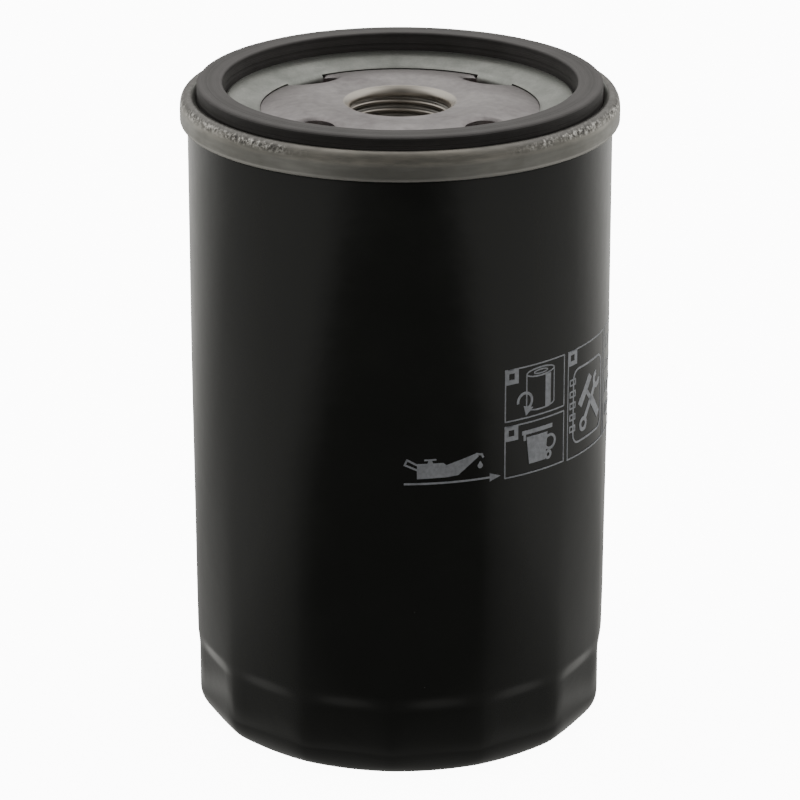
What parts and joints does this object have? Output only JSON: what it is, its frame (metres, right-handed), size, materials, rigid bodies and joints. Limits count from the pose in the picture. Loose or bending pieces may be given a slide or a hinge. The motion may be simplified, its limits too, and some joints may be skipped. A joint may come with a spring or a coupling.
{
  "type": "oil filter",
  "caption": "Spin-on oil filter: a black drawn can with wrench flats, closed by a seamed lid, threaded base plate and rubber gasket, around a sprung paper cartridge.",
  "frame": {"origin": "centre of the closed end's standing face, on the filter's axis", "axes": "+Z along the axis, from the closed end to the threaded end; +X to the right and -Y towards the viewer of the printed panel"},
  "size_m": [0.077, 0.077, 0.1175],
  "materials": {
    "can_paint": "gloss",
    "zinc_sheet": "satin",
    "plate_steel": "satin",
    "gasket_rubber": "matte",
    "sealant": "matte",
    "valve_rubber": "matte",
    "tinned_sheet": "satin",
    "tube_steel": "satin",
    "filter_paper": "matte",
    "bond": "matte",
    "passivated_steel": "satin",
    "seal_rubber": "matte",
    "spring_steel": "satin"
  },
  "bodies": {
    "housing": {"can": "can_paint", "seaming_lid": "zinc_sheet", "base_plate": "plate_steel", "gasket": "gasket_rubber", "seam_sealant": "sealant", "support_spring": "spring_steel"},
    "cartridge": {"upper_end_cap": "tinned_sheet", "lower_end_cap": "tinned_sheet", "centre_tube": "tube_steel", "pleated_media": "filter_paper", "media_clip": "tinned_sheet", "upper_bond": "bond", "lower_bond": "bond", "bypass_cage": "passivated_steel", "bypass_seal": "seal_rubber", "bypass_spring": "spring_steel"},
    "bypass_poppet": {"bypass_disc": "passivated_steel", "bypass_stem": "passivated_steel", "stem_clip": "spring_steel"},
    "antidrain_lip": {"antidrain_valve": "valve_rubber"}
  },
  "joints": [
    {"name": "cartridge_float", "type": "slide", "parent": "housing", "child": "cartridge", "axis": [0, 0, -1], "range_m": [0, 0.002], "stiffness_N_per_m": 4000, "springref_m": -0.008, "deforming": ["support_spring"]},
    {"name": "bypass_lift", "type": "slide", "parent": "cartridge", "child": "bypass_poppet", "axis": [0, 0, 1], "range_m": [0, 0.004], "stiffness_N_per_m": 2500, "springref_m": -0.005, "deforming": ["bypass_spring"]},
    {"name": "antidrain_open", "type": "slide", "parent": "housing", "child": "antidrain_lip", "axis": [0, 0, -1], "range_m": [0, 0.0015], "stiffness_N_per_m": 1500, "springref_m": -0.0005, "deforming": ["antidrain_valve"]}
  ]
}
